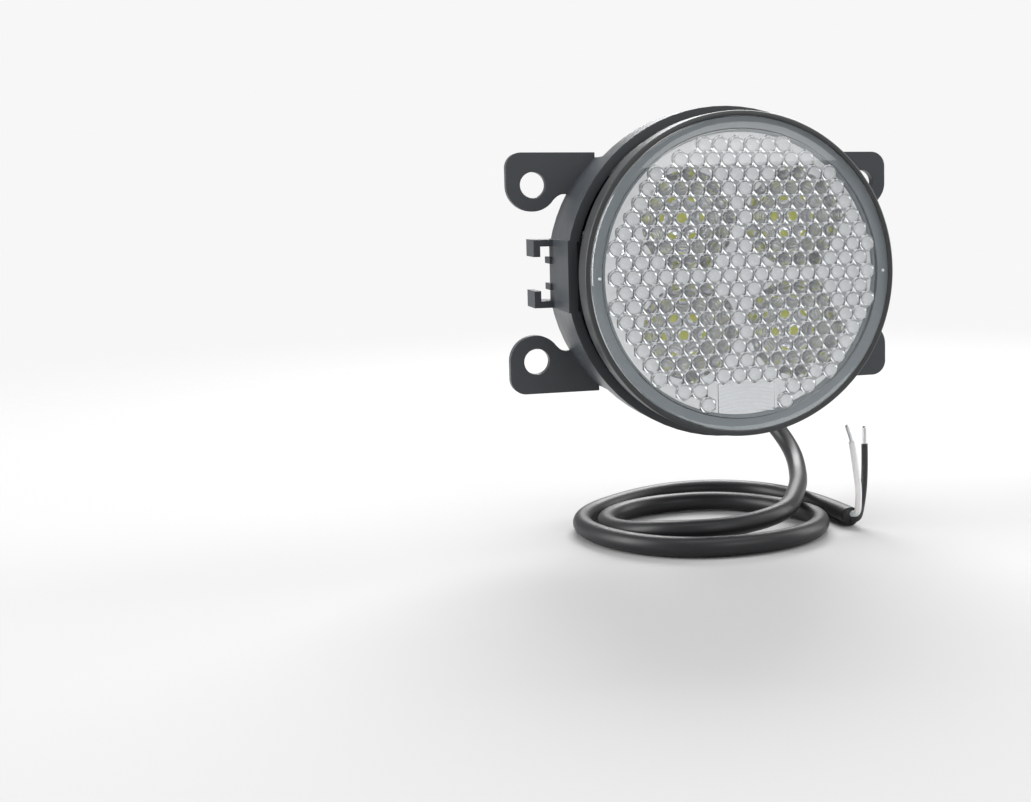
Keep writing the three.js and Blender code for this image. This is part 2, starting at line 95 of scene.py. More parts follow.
def material(name, colour, roughness=0.5, metallic=0.0, **sockets):
    made = bpy.data.materials.new(name)
    made.use_nodes = True
    shader = made.node_tree.nodes["Principled BSDF"]
    shader.inputs["Base Color"].default_value = (*colour, 1)
    shader.inputs["Roughness"].default_value = roughness
    shader.inputs["Metallic"].default_value = metallic
    for socket, value in sockets.items():
        shader.inputs[socket.replace("_", " ")].default_value = value
    return made


def grain(made, scale, strength, distance=0.0001, spread=None, tint=None):
    """Fine bumps on a material; spread varies its roughness and tint its colour."""
    tree = made.node_tree
    shader = tree.nodes["Principled BSDF"]
    place = tree.nodes.new("ShaderNodeTexCoord")
    noise = tree.nodes.new("ShaderNodeTexNoise")
    noise.inputs["Scale"].default_value = scale
    noise.inputs["Detail"].default_value = 4
    tree.links.new(place.outputs["Object"], noise.inputs["Vector"])
    bump = tree.nodes.new("ShaderNodeBump")
    bump.inputs["Strength"].default_value = strength
    bump.inputs["Distance"].default_value = distance
    tree.links.new(noise.outputs["Fac"], bump.inputs["Height"])
    tree.links.new(bump.outputs["Normal"], shader.inputs["Normal"])
    if spread:
        wide = tree.nodes.new("ShaderNodeTexNoise")
        wide.inputs["Scale"].default_value = scale / 12
        tree.links.new(place.outputs["Object"], wide.inputs["Vector"])
        roughness = tree.nodes.new("ShaderNodeMapRange")
        roughness.inputs["To Min"].default_value = spread[0]
        roughness.inputs["To Max"].default_value = spread[1]
        tree.links.new(wide.outputs["Fac"], roughness.inputs["Value"])
        tree.links.new(roughness.outputs["Result"], shader.inputs["Roughness"])
    if tint:
        mix = tree.nodes.new("ShaderNodeMix")
        mix.data_type = "RGBA"
        mix.inputs["A"].default_value = (*tint[0], 1)
        mix.inputs["B"].default_value = (*tint[1], 1)
        tree.links.new(noise.outputs["Fac"], mix.inputs["Factor"])
        tree.links.new(mix.outputs["Result"], shader.inputs["Base Color"])
    return made


def painted_facet_reflections(made, scale, dark, light):
    """Painted reflections: fine steps of light and shade along Y, painted into the base colour, as the facets
    of a turned reflector give.
    """
    tree = made.node_tree
    place = tree.nodes.new("ShaderNodeTexCoord")
    wave = tree.nodes.new("ShaderNodeTexWave")
    wave.bands_direction = "Y"
    wave.inputs["Scale"].default_value = scale
    tree.links.new(place.outputs["Object"], wave.inputs["Vector"])
    mix = tree.nodes.new("ShaderNodeMix")
    mix.data_type = "RGBA"
    mix.inputs["A"].default_value = (*dark, 1)
    mix.inputs["B"].default_value = (*light, 1)
    tree.links.new(wave.outputs["Fac"], mix.inputs["Factor"])
    tree.links.new(mix.outputs["Result"], tree.nodes["Principled BSDF"].inputs["Base Color"])
    return made


def rounded(made, radius):
    """Rounds a material's sharp edges in the shading, on top of any grain."""
    tree = made.node_tree
    shader = tree.nodes["Principled BSDF"]
    edge = tree.nodes.new("ShaderNodeBevel")
    edge.inputs["Radius"].default_value = radius
    edge.samples = 4
    bumps = [n for n in tree.nodes if n.type == "BUMP"]
    if bumps:
        tree.links.new(edge.outputs["Normal"], bumps[0].inputs["Normal"])
    else:
        tree.links.new(edge.outputs["Normal"], shader.inputs["Normal"])
    return made


BRACKET = rounded(
    grain(material("bracket_plastic", (0.050, 0.0555, 0.0625), 0.36), 2200, 0.12, spread=(0.30, 0.42)),
    0.0004,
)
CASTING = rounded(
    grain(
        material("black_casting", (0.006, 0.0063, 0.0066), 0.42, Specular_IOR_Level=0.42),
        1600, 0.25, spread=(0.40, 0.52),
    ),
    0.0003,
)
POCKET_FLOOR = grain(material("pocket_floor", (0.05, 0.052, 0.055), 0.38, 0.5), 900, 0.9, 0.0003)
BEZEL = grain(material("bezel_plastic", (0.036, 0.038, 0.040), 0.36), 2200, 0.10, spread=(0.33, 0.43))
RIM_GREY = grain(
    material("rim_backing", (0.20, 0.23, 0.245), 0.55),
    1500, 0.05, tint=((0.19, 0.22, 0.235), (0.21, 0.24, 0.255)),
)
LENS_CLEAR = material("clear_lens", (0.98, 0.99, 1.0), 0.02, Transmission_Weight=1.0, IOR=1.58)
RUBBER = grain(material("black_rubber", (0.018, 0.018, 0.019), 0.5), 2600, 0.15, spread=(0.45, 0.6))
JACKET = grain(
    material("cable_jacket", (0.012, 0.0125, 0.014), 0.42, Specular_IOR_Level=0.45),
    1800, 0.12, spread=(0.38, 0.48),
)
# The cups' metallised finish with painted reflections: bands of light and shade in its base colour stand in
# for the facets' reflections.
SILVER_PAINTED_REFLECTIONS = painted_facet_reflections(
    material("metallised", (0.62, 0.63, 0.64), 0.16, 1.0),
    285, dark=(0.50, 0.505, 0.51), light=(0.95, 0.955, 0.96),
)
SILVER_PLATE = material("metallised_plate", (0.92, 0.92, 0.92), 0.5)
LED_YELLOW = material("led_phosphor", (0.60, 0.62, 0.06), 0.35)
BOARD = material("circuit_board", (0.70, 0.71, 0.70), 0.45)
NYLON = material("nylon", (0.55, 0.53, 0.46), 0.45)
STEEL = rounded(material("dark_steel", (0.05, 0.05, 0.052), 0.2, 0.8), 0.00025)
CHIP = material("chip_black", (0.02, 0.02, 0.02), 0.5)
CAN = material("can_aluminium", (0.7, 0.71, 0.72), 0.3, 1.0)
PAD = material("pad_silicone", (0.28, 0.32, 0.38), 0.8)
WHITE_INSULATION = material("white_insulation", (0.80, 0.81, 0.82), 0.35, Subsurface_Weight=0.1)
BLACK_INSULATION = material("black_insulation", (0.022, 0.022, 0.024), 0.38)

# ---------------------------------------------------------------- mesh helpers


def new_object(name, verts, faces, made, smooth=True):
    data = bpy.data.meshes.new(name)
    data.from_pydata([tuple(v) for v in verts], [], faces)
    data.validate()
    made_object = bpy.data.objects.new(name, data)
    bpy.context.scene.collection.objects.link(made_object)
    data.materials.append(made)
    data.polygons.foreach_set("use_smooth", [smooth] * len(data.polygons))
    return made_object


def outward(shape):
    """Turns a closed mesh's faces outward."""
    mesh = bmesh.new()
    mesh.from_mesh(shape.data)
    bmesh.ops.recalc_face_normals(mesh, faces=mesh.faces)
    mesh.to_mesh(shape.data)
    mesh.free()
    return shape


def sharp_by_angle(shape, degrees=35):
    shape.data.set_sharp_from_angle(angle=math.radians(degrees))
    return shape


def lathe_parts(profile, segments, x=0.0, z=0.0, closed=False):
    """Vertices and faces of a profile of (radius, y) in mm turned about the Y axis through (x, z)."""
    verts = []
    rings = []
    for r, y in profile:
        if r < 1e-6:
            rings.append([len(verts)] * segments)
            verts.append((x * MM, y * MM, z * MM))
            continue
        rings.append(list(range(len(verts), len(verts) + segments)))
        for i in range(segments):
            a = 2 * math.pi * i / segments
            verts.append(((x + r * math.cos(a)) * MM, y * MM, (z + r * math.sin(a)) * MM))
    faces = []
    pairs = list(zip(rings, rings[1:]))
    if closed:
        pairs.append((rings[-1], rings[0]))
    for low, high in pairs:
        for i in range(segments):
            j = (i + 1) % segments
            corners = [low[i], low[j], high[j], high[i]]
            face = [c for k, c in enumerate(corners) if c != corners[k - 1]]
            if len(face) > 2:
                faces.append(face)
    return verts, faces


def lathe(name, profile, made, segments=160, x=0.0, z=0.0, closed=False, angle=35):
    verts, faces = lathe_parts(profile, segments, x, z, closed)
    return sharp_by_angle(outward(new_object(name, verts, faces, made)), angle)


def joined(name, parts, made):
    """One mesh object from several (verts, faces) lists."""
    verts = []
    faces = []
    for part_verts, part_faces in parts:
        start = len(verts)
        verts.extend(part_verts)
        faces.extend([[i + start for i in face] for face in part_faces])
    return new_object(name, verts, faces, made)


def round_corner(corner, before, after, r, steps=4):
    """Points of a rounded corner of a profile, in mm."""
    corner = Vector(corner)
    start = corner + (Vector(before) - corner).normalized() * r
    end = corner + (Vector(after) - corner).normalized() * r
    points = []
    for i in range(steps + 1):
        t = i / steps
        points.append(tuple(start * (1 - t) ** 2 + corner * 2 * t * (1 - t) + end * t**2))
    return points


def softened(profile, radii):
    """A closed profile in mm with its corners rounded, each by its own radius."""
    points = []
    for i, corner in enumerate(profile):
        points.extend(round_corner(corner, profile[i - 1], profile[(i + 1) % len(profile)], radii[i]))
    return points


# ---------------------------------------------------------------- cable and wires

CABLE_R = 2.95
WIRE_R = 1.03
STRAND_R = 0.62
BOOT_RUN = [(0, 7.5, 0), (0, 10.5, 0)]  # the straight start inside the boot
DROP = [
    (0, 13.8, 0), (0.8, 20.5, -0.8), (3.5, 29.5, -4.5), (8.5, 38, -13), (13.5, 43, -24), (20.5, 46, -35),
    (29.5, 45, -46), (37.5, 38, -57), (40, 27, -65), (37, 14, -69.5), (32, 1, -71),
]
COIL = [
    (25.5, -12, -72), (17, -25, -73.2), (5, -32, -74.2), (-9, -34.5, -74.6), (-21, -30, -75),
    (-29.5, -20, -76.5), (-33, -6, -77.6), (-29, 8, -78), (-18, 17, -78), (-4, 20, -78), (9, 17.5, -78),
    (20, 9, -78), (27.5, -3, -78), (31, -16, -78), (26, -30, -78), (13, -40, -78), (-3, -43, -78),
    (-18, -40, -78), (-30.5, -30, -78), (-38.5, -14, -78), (-39.5, 2, -78), (-32.5, 17, -78),
    (-19, 28, -77.6), (-4, 34, -77.2), (12, 34, -77.2), (26, 26, -77.4), (35, 12, -77.7), (39.5, -4, -78),
    (40.8, -21.3, -78),
]
WHITE_WIRE = [
    (40.5, -13, -77.4), (41.1, -18, -77.4), (41.2, -21, -77.2), (41.9, -23.6, -76.4), (42.2, -24.2, -73.5),
    (42.1, -24.5, -68.5), (41.1, -24.5, -61), (40, -24.5, -54), (38.2, -24.8, -48.7),
]
BLACK_WIRE = [
    (39.9, -13, -78.6), (40.6, -18, -78.6), (41, -21.2, -78.8), (42.5, -22.6, -78.4), (44.4, -21.4, -75.3),
    (45.7, -20.5, -69.5), (46.3, -20, -62), (46.3, -20, -55.5), (46.3, -20, -50.2),
]
BARE_WIRE = 5.2  # stripped length at each wire's tip


def smooth_path(points, step=0.8):
    """Evenly spaced points, in mm, on one smooth curve through the given ones."""
    p = np.array(points, float)
    d = np.r_[0, np.cumsum(np.linalg.norm(np.diff(p, axis=0), axis=1) ** 0.5)]
    n = len(p)
    h = np.diff(d)
    left = np.zeros((n, n))
    right = np.zeros((n, 3))
    left[0, 0] = left[-1, -1] = 1
    for i in range(1, n - 1):
        left[i, i - 1: i + 2] = h[i - 1], 2 * (h[i - 1] + h[i]), h[i]
        right[i] = 6 * ((p[i + 1] - p[i]) / h[i] - (p[i] - p[i - 1]) / h[i - 1])
    curve = np.linalg.solve(left, right)
    fine = []
    for i in range(n - 1):
        for u in np.linspace(0, 1, 60, endpoint=False):
            a = 1 - u
            bend = ((a**3 - a) * curve[i] + (u**3 - u) * curve[i + 1]) * h[i] ** 2 / 6
            fine.append(a * p[i] + u * p[i + 1] + bend)
    fine = np.array([*fine, p[-1]])
    s = np.r_[0, np.cumsum(np.linalg.norm(np.diff(fine, axis=0), axis=1))]
    even = np.linspace(0, s[-1], max(2, round(s[-1] / step)) + 1)
    return np.stack([np.interp(even, s, fine[:, k]) for k in range(3)], axis=1)


def tube(name, path, r, made, sides=28, closing=0.35):
    """A tube along a path in mm, with softly rounded ends."""
    tangents = np.gradient(path, axis=0)
    tangents /= np.linalg.norm(tangents, axis=1)[:, None]
    across = np.cross(tangents[0], (0.3, 0.2, 0.93))
    across /= np.linalg.norm(across)
    rings = []
    for i, t in enumerate(tangents):
        across = across - t * (across @ t)
        across /= np.linalg.norm(across)
        other = np.cross(t, across)
        ends = [(0.0, r)]
        if i == 0:
            ends = [(-closing, r - closing), (-closing * 0.3, r - closing * 0.3), (0.0, r)]
        if i == len(tangents) - 1:
            ends = [(0.0, r), (closing * 0.3, r - closing * 0.3), (closing, r - closing)]
        for shift, radius in ends:
            turn = np.arange(sides) * 2 * math.pi / sides
            circle = np.outer(np.cos(turn), across) + np.outer(np.sin(turn), other)
            rings.append((path[i] + t * shift + radius * circle) * MM)
    verts = [tuple(v) for ring in rings for v in ring]
    faces = []
    for k in range(len(rings) - 1):
        for i in range(sides):
            j = (i + 1) % sides
            faces.append([k * sides + i, k * sides + j, (k + 1) * sides + j, (k + 1) * sides + i])
    faces.append(list(range(sides))[::-1])
    faces.append([(len(rings) - 1) * sides + i for i in range(sides)])
    return sharp_by_angle(outward(new_object(name, verts, faces, made)), 50)


def make_cable():
    path = smooth_path(BOOT_RUN + DROP + COIL)
    cable = tube("cable", path, CABLE_R, JACKET)
    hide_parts("cable_drop", "cable_coil")
    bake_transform(cable)
    for colour, points, made, slot in (
        ("white", WHITE_WIRE, WHITE_INSULATION, "white_insulation"),
        ("black", BLACK_WIRE, BLACK_INSULATION, "cable_jacket"),
    ):
        whole = smooth_path(points, 0.5)
        along = np.r_[0, np.cumsum(np.linalg.norm(np.diff(whole, axis=0), axis=1))]
        covered = whole[along < along[-1] - BARE_WIRE]
        bare = whole[along > along[-1] - BARE_WIRE - 1]
        wire = tube(colour + "_wire_insulation", covered, WIRE_R, made, 20, 0.15)
        tip = tube(colour + "_wire_tip", bare, STRAND_R, CAN, 12, 0.2)
        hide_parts(colour + "_wire")
        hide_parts(colour + "_wire_end")
        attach(wire, "bracket")
        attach(tip, "bracket")


make_cable()

# ---------------------------------------------------------------- heat sink

DOME = {"r": 44.2, "base": -13.4, "height": 42.8, "power": 2.3}
CROWN = DOME["base"] + DOME["height"]
CHANNEL_Y = -10.0  # the floor of the channels between the fins
INNER_FIN_X = 13.0
FIN_X = (-24.3, -INNER_FIN_X, 0.0, INNER_FIN_X, 24.3)
SHOULDER_X = 35.6
FIN_T = 2.3
FIN_DRAFT = math.tan(math.radians(3))
WEB_DRAFT = math.tan(math.radians(1.2))
POCKET = {"z": 12.2, "floor": 5.0, "web": 2.3, "corner": 2.2}
FILLET = {"pocket": 3.3, "cell": 2.0}
FAR = 60  # beyond the casting, for the solids that cut it
SLOT = {"x": 35.4, "z": 12.9, "y": -24.3}  # the slots that take the bracket's side boxes
WALL_ROOM = {"r": 42.3, "x": 33.5, "z": 38.0, "y": -18.1}
NOTCH = {"x": 11.4, "z": -36.2, "y": -18.1}  # at the bottom, round the bracket's boss


def dome_y(x, z):
    share = min(1.0, math.hypot(x, z) / DOME["r"])
    return DOME["base"] + DOME["height"] * (1 - share ** DOME["power"]) ** (1 / DOME["power"])


def fin_half(y):
    return FIN_T / 2 + (CROWN - y) * FIN_DRAFT


def fin_outline(x, steps=110):
    """Points (y, z) of the dome's outline at x, from the bottom to the top."""
    reach = math.sqrt(DOME["r"] ** 2 - x * x)
    points = []
    for i in range(steps + 1):
        a = math.pi * i / steps - math.pi / 2
        z = reach * math.sin(a)
        points.append((dome_y(x, z), z))
    return points


def inside_dome(x, y, z):
    """The same point, moved in if it is outside the casting's largest radius."""
    shrink = min(1.0, (DOME["r"] - 0.2) / max(1e-6, math.hypot(x, z)))
    return x * shrink, y, z * shrink


def ridge(outline, place, half, straight=False, r=0.5):
    """A closed fin or web: its tip follows the outline of (y, side) points, its edges are rounded by r.

    place turns (across, y, side) in mm into a point, and half gives half the thickness at a y. The flanks run
    in towards the middle of the casting, or straight in along Y.
    """
    rows = []
    centre = np.array((DOME["base"] + 2, 0.0))
    spots = np.array(outline, float)
    along = np.gradient(spots, axis=0)
    normals = np.stack([along[:, 1], -along[:, 0]], axis=1)
    normals /= np.linalg.norm(normals, axis=1)[:, None]
    normals *= np.sign(((spots - centre) * normals).sum(axis=1))[:, None]
    for spot, normal in zip(spots, normals):
        inward = np.array((CHANNEL_Y - 1 - spot[0], 0.0)) if straight else centre - spot
        wide = half(spot[0])
        row = []
        for side in (-1, 1):
            section = []
            for deep in (1.0, 0.8, 0.6, 0.4, 0.22, 0.1):
                point = spot + inward * deep
                section.append((side * half(point[0]), point))
            for k in range(5):
                a = k / 4 * math.pi / 2
                point = spot - normal * r * (1 - math.sin(a))
                section.append((side * (wide - r * (1 - math.cos(a))), point))
            row.extend(section if side < 0 else section[::-1])
        rows.append([inside_dome(*place(across, point[0], point[1])) for across, point in row])
    count = len(rows[0])
    verts = [tuple(c * MM for c in v) for row in rows for v in row]
    faces = [list(range(count)), [(len(rows) - 1) * count + k for k in range(count)][::-1]]
    for i in range(len(rows) - 1):
        for k in range(count):
            j = (k + 1) % count
            faces.append([i * count + k, i * count + j, (i + 1) * count + j, (i + 1) * count + k])
    return verts, faces


def trimmed(shape, planes):
    """Cuts a closed mesh with planes, each (point, normal) in mm; what is on the normal's side goes."""
    mesh = bmesh.new()
    mesh.from_mesh(shape.data)
    bmesh.ops.remove_doubles(mesh, verts=mesh.verts, dist=1e-6)
    for point, normal in planes:
        geometry = [*mesh.verts, *mesh.edges, *mesh.faces]
        cut = bmesh.ops.bisect_plane(
            mesh, geom=geometry, plane_co=Vector(point) * MM, plane_no=normal, clear_outer=True, dist=1e-7
        )
        edges = [e for e in cut["geom_cut"] if isinstance(e, bmesh.types.BMEdge)]
        bmesh.ops.edgeloop_fill(mesh, edges=edges)
    mesh.to_mesh(shape.data)
    mesh.free()
    return shape


def inside_corner(x, z, sign_x, sign_z, r, floor):
    """The fillet that rounds the corner between a fin and a web, standing in the corner at (x, z)."""
    flat = [(x, z)]
    for i in range(9):
        a = math.pi / 2 * i / 8
        flat.append((x + sign_x * r * (1 - math.sin(a)), z + sign_z * r * (1 - math.cos(a))))
    verts = []
    for y_of in (lambda u, v: dome_y(u, v) - 0.35, lambda u, v: floor):
        for px, pz in flat:
            verts.append((px * MM, y_of(px, pz) * MM, pz * MM))
    n = len(flat)
    faces = [list(range(n)), list(range(n, 2 * n))[::-1]]
    for i in range(n):
        j = (i + 1) % n
        faces.append([i, j, j + n, i + n])
    return verts, faces


def closed_lathe(name, profile, segments=160):
    verts, faces = lathe_parts(profile, segments)
    return outward(new_object(name, verts, faces, CASTING))


def block(name, low, high):
    corners = []
    for x in (low[0], high[0]):
        for y in (low[1], high[1]):
            for z in (low[2], high[2]):
                corners.append([x * MM, y * MM, z * MM])
    faces = [[0, 1, 3, 2], [4, 6, 7, 5], [0, 4, 5, 1], [2, 3, 7, 6], [0, 2, 6, 4], [1, 5, 7, 3]]
    return outward(new_object(name, corners, faces, CASTING, smooth=False))


def prism(name, outline, low, high, axis="z"):
    """A closed prism: an outline of 2-D points in mm, given length along Z or Y."""
    verts = []
    for end in (low, high):
        for u, v in outline:
            spot = (u, v, end) if axis == "z" else (u, end, v)
            verts.append(tuple(c * MM for c in spot))
    n = len(outline)
    faces = [list(range(n)), list(range(n, 2 * n))[::-1]]
    for i in range(n):
        j = (i + 1) % n
        faces.append([i, j, j + n, i + n])
    return outward(new_object(name, verts, faces, CASTING, smooth=False))


def carve(target, tools, operation="DIFFERENCE"):
    """Cuts a mesh with others, which are used up."""
    for tool in tools:
        change = target.modifiers.new("carve", "BOOLEAN")
        change.operation = operation
        change.solver = "EXACT"
        change.object = tool
    graph = bpy.context.evaluated_depsgraph_get()
    graph.update()
    done = bpy.data.meshes.new_from_object(target.evaluated_get(graph))
    old = target.data
    target.modifiers.clear()
    target.data = done
    bpy.data.meshes.remove(old)
    for tool in tools:
        bpy.data.objects.remove(tool)
    return target


def boss_room():
    """What the bracket's boss needs at the bottom of the casting."""
    return block("cut_notch", (-NOTCH["x"], NOTCH["y"], -FAR), (NOTCH["x"], FAR, NOTCH["z"]))


def make_fin_fillets():
    """The rounded inside corners of the pocket and of the four cells above and below it."""
    corners = []
    wall = INNER_FIN_X - fin_half(dome_y(12, 12)) + 0.1
    inner = POCKET["z"] + 0.1
    outer = POCKET["z"] + POCKET["web"] - 0.1
    for sx in (-1, 1):
        for sz in (-1, 1):
            corners.append(
                inside_corner(sx * wall, sz * inner, -sx, -sz, FILLET["pocket"], POCKET["floor"] - 1)
            )
            corners.append(inside_corner(sx * wall, sz * outer, -sx, sz, FILLET["cell"], CHANNEL_Y - 1))
            corners.append(inside_corner(sx * 1.1, sz * outer, sx, sz, FILLET["cell"], CHANNEL_Y - 1))
    return joined("fin_fillets", corners, CASTING)


def make_fins():
    """The fins, the two webs that frame the pocket, and the fillets between them."""
    parts = []
    made = []
    web_z = POCKET["z"] + POCKET["web"] / 2
    for x in FIN_X:
        fin = ridge(fin_outline(x), lambda across, y, side, x=x: (x + across, y, side), fin_half)
        if abs(x) > INNER_FIN_X:
            parts.append(fin)
        elif x:
            name = "fin_beside_pocket_" + ("right" if x > 0 else "left")
            made.append(carve(outward(new_object(name, *fin, CASTING)), [boss_room()]))
    for z in (-web_z, web_z):
        outline = []
        for i in range(-20, 21):
            x = INNER_FIN_X * i / 20
            outline.append((dome_y(x, z), x))
        parts.append(ridge(
            outline, lambda across, y, side, z=z: (side, y, z + across),
            lambda y: POCKET["web"] / 2 + (CROWN - y) * WEB_DRAFT, straight=True,
        ))
    made.append(joined("fins", parts, CASTING))
    for name, planes in (
        ("upper", [((0, 0, web_z), (0, 0, -1))]),
        ("lower", [((0, 0, -web_z), (0, 0, 1)), ((0, 0, NOTCH["z"]), (0, 0, -1))]),
    ):
        verts, faces = ridge(fin_outline(0), lambda across, y, side: (across, y, side), fin_half)
        middle = new_object("middle_fin_" + name, verts, faces, CASTING)
        made.append(trimmed(outward(middle), planes))
    made.append(make_fin_fillets())
    for shape in made:
        sharp_by_angle(outward(shape), 50)
    return made


def bracket_room(side):
    """What the bracket's side box and its curved wall need on one side of the casting."""
    left, right = sorted((side * SLOT["x"], side * FAR))
    slot = block("cut_slot", (left, SLOT["y"], -SLOT["z"]), (right, FAR, SLOT["z"]))
    r, y = WALL_ROOM["r"], WALL_ROOM["y"]
    wall = closed_lathe("cut_wall", [(r, y), (FAR + 10, y), (FAR + 10, FAR), (r, FAR), (r, y)], 192)
    left, right = sorted((side * WALL_ROOM["x"], side * (FAR + 20)))
    window = block("cut_window", (left, -40, -WALL_ROOM["z"]), (right, FAR + 20, WALL_ROOM["z"]))
    return [slot, carve(wall, [window], "INTERSECT")]


def make_shoulder(side):
    """The solid end of the casting beyond its outermost channel."""
    profile = [(0, -30), (DOME["r"], -30)]
    for i in range(41):
        a = math.pi / 2 * i / 40
        r = DOME["r"] * math.cos(a) ** (2 / DOME["power"])
        y = DOME["base"] + DOME["height"] * math.sin(a) ** (2 / DOME["power"])
        profile.append((0 if i == 40 else r, y))
    dome = closed_lathe("shoulder_" + ("right" if side > 0 else "left"), profile, 180)
    edge = SHOULDER_X - FIN_T / 2
    lean = (CROWN - CHANNEL_Y) * FIN_DRAFT
    inner = [
        (side * (edge - lean), CHANNEL_Y - 25), (side * (edge - lean), CHANNEL_Y), (side * edge, CROWN),
        (side * -FAR, CROWN), (side * -FAR, CHANNEL_Y - 25),
    ]
    beside = prism("cut_beside", inner, -FAR, FAR)
    return sharp_by_angle(carve(dome, [beside, *bracket_room(side)]), 30)


def make_drum():
    """The casting's body between the fins and the bezel, and the plate under the channels."""
    profile = [
        (0, CHANNEL_Y), (43.4, CHANNEL_Y), (43.9, CHANNEL_Y - 0.2), (44.2, CHANNEL_Y - 0.8), (44.2, -35.9),
        (41.5, -35.9), (41.5, -28.5), (33, -28.5), (33, -22.4), (0, -22.4),
    ]
    drum = closed_lathe("casting_body", profile, 192)
    nut_room = block("cut_nut", (-5.2, -26.5, -FAR), (5.2, 0, -38.6))
    return sharp_by_angle(carve(drum, [*bracket_room(-1), *bracket_room(1), boss_room(), nut_room]), 30)


def make_pocket():
    """The raised, speckled floor of the pocket, and the block under the pocket's frame."""
    r = POCKET["corner"]
    outline = []
    for cx, cz, start in ((1, 1, 0), (-1, 1, 1), (-1, -1, 2), (1, -1, 3)):
        for i in range(7):
            a = (start + i / 6) * math.pi / 2
            outline.append((cx * (11.7 - r) + r * math.cos(a), cz * (11.9 - r) + r * math.sin(a)))
    raised = prism("pocket_floor", outline, CHANNEL_Y - 1, POCKET["floor"], "y")
    raised.data.materials.clear()
    raised.data.materials.append(POCKET_FLOOR)
    base = [(13.5 * sx, 13.7 * sz) for sx, sz in ((1, 1), (-1, 1), (-1, -1), (1, -1))]
    under = prism("pocket_base", base, CHANNEL_Y - 1, POCKET["floor"] - 0.4, "y")
    return [raised, under]


def make_heat_sink():
    pieces = [*make_fins(), make_shoulder(-1), make_shoulder(1), make_drum(), *make_pocket()]
    for made in pieces:
        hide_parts("heat_sink")
        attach(made, "lamp")


make_heat_sink()

# ---------------------------------------------------------------- bezel, lens and what is behind it

LENS = {"r": 45.1, "front": -41.4, "pane": -40.6, "base": -40.3, "field": 41.3, "pitch": 4.75, "ball": 2.95}
# the plain patch at the bottom of the lens
RIBBED = {"x": 8.6, "top": -31.2, "bottom": -39.6, "pitch": 1.1, "rise": 0.05}


def make_bezel():
    profile = [(45.35, -37.0), (45.35, -40.3), (46.9, -40.3), (46.9, -31.9), (44.5, -31.9), (44.5, -37.0)]
    rounds = [0.1, 0.25, 0.7, 0.5, 0.3, 0.1]
    ring = lathe("bezel_ring_visual", softened(profile, rounds), BEZEL, 192, closed=True, angle=60)
    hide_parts("bezel_ring")
    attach(ring, "lamp")


make_bezel()


def lenslet_height(spot):
    """How far a lenslet stands out of the lens's back at a distance from its own centre, in mm."""
    corner = LENS["pitch"] / math.sqrt(3)
    return 0.15 + math.sqrt(LENS["ball"] ** 2 - spot**2) - math.sqrt(LENS["ball"] ** 2 - corner**2)


def in_ribbed_patch(x, z):
    return abs(x) < RIBBED["x"] + 1.2 and z < RIBBED["top"] + 2


def lenslet_cells():
    """Vertices and faces of the six-sided cells with a round bump in each, as one sheet.

    Points beyond the edge of the field are drawn in to it.
    """
    pitch = LENS["pitch"]
    row_step = pitch * math.sqrt(3) / 2
    verts = []
    faces = []
    rings = [0.25, 0.5, 0.7, 0.85, 1.0]
    spokes = 30
    for row in range(-11, 12):
        shift = pitch / 2 if row % 2 else 0.0
        for column in range(-10, 11):
            cx = column * pitch + shift
            cz = row * row_step
            if math.hypot(cx, cz) > LENS["field"] - 0.8 or in_ribbed_patch(cx, cz):
                continue
            start = len(verts)
            for i in range(spokes):
                a = 2 * math.pi * i / spokes + math.pi / 2
                inside = (a - math.pi / 2) % (math.pi / 3) - math.pi / 6
                reach = pitch / 2 / math.cos(inside)
                for ring in rings:
                    spot = ring * reach
                    x = cx + spot * math.cos(a)
                    z = cz + spot * math.sin(a)
                    inward = min(1.0, LENS["field"] / math.hypot(x, z))
                    y = LENS["base"] + lenslet_height(spot)
                    verts.append((x * inward * MM, y * MM, z * inward * MM))
            top = len(verts)
            verts.append((cx * MM, (LENS["base"] + lenslet_height(0)) * MM, cz * MM))
            steps = len(rings)
            for i in range(spokes):
                this = start + i * steps
                after = start + (i + 1) % spokes * steps
                faces.append([top, this, after])
                for k in range(steps - 1):
                    faces.append([this + k, this + k + 1, after + k + 1, after + k])
    return verts, faces


def ribbed_cells():
    """The patch of fine ribs at the bottom of the lens, as one sheet."""
    verts = []
    faces = []
    columns = 24
    rows = 84
    for i in range(rows + 1):
        for j in range(columns + 1):
            x = RIBBED["x"] * (2 * j / columns - 1)
            z = RIBBED["bottom"] + (RIBBED["top"] - RIBBED["bottom"]) * i / rows
            if math.hypot(x, z) > LENS["field"] - 0.6:
                z = -math.sqrt((LENS["field"] - 0.6) ** 2 - x * x)
            bow = z + x * x / 60
            y = LENS["base"] + 0.6 + RIBBED["rise"] * math.sin(2 * math.pi * bow / RIBBED["pitch"])
            verts.append((x * MM, y * MM, z * MM))
    for i in range(rows):
        for j in range(columns):
            k = i * (columns + 1) + j
            faces.append([k, k + 1, k + columns + 2, k + columns + 1])
    return verts, faces


def closed_sheet(name, sheet):
    """A clear solid: the sheet is its back, and its front is the plane of the lens's base."""
    shape = new_object(name, *sheet, LENS_CLEAR)
    mesh = bmesh.new()
    mesh.from_mesh(shape.data)
    bmesh.ops.remove_doubles(mesh, verts=mesh.verts, dist=4e-6)
    bmesh.ops.dissolve_degenerate(mesh, dist=1e-6, edges=mesh.edges)
    edges = [e for e in mesh.edges if e.is_boundary]
    made = bmesh.ops.extrude_edge_only(mesh, edges=edges)
    for vertex in [g for g in made["geom"] if isinstance(g, bmesh.types.BMVert)]:
        vertex.co.y = LENS["base"] * MM
    rim = [g for g in made["geom"] if isinstance(g, bmesh.types.BMEdge) and g.is_boundary]
    bmesh.ops.edgeloop_fill(mesh, edges=rim)
    bmesh.ops.recalc_face_normals(mesh, faces=mesh.faces)
    mesh.to_mesh(shape.data)
    mesh.free()
    shape.data.polygons.foreach_set("use_smooth", [True] * len(shape.data.polygons))
    return sharp_by_angle(shape, 30)


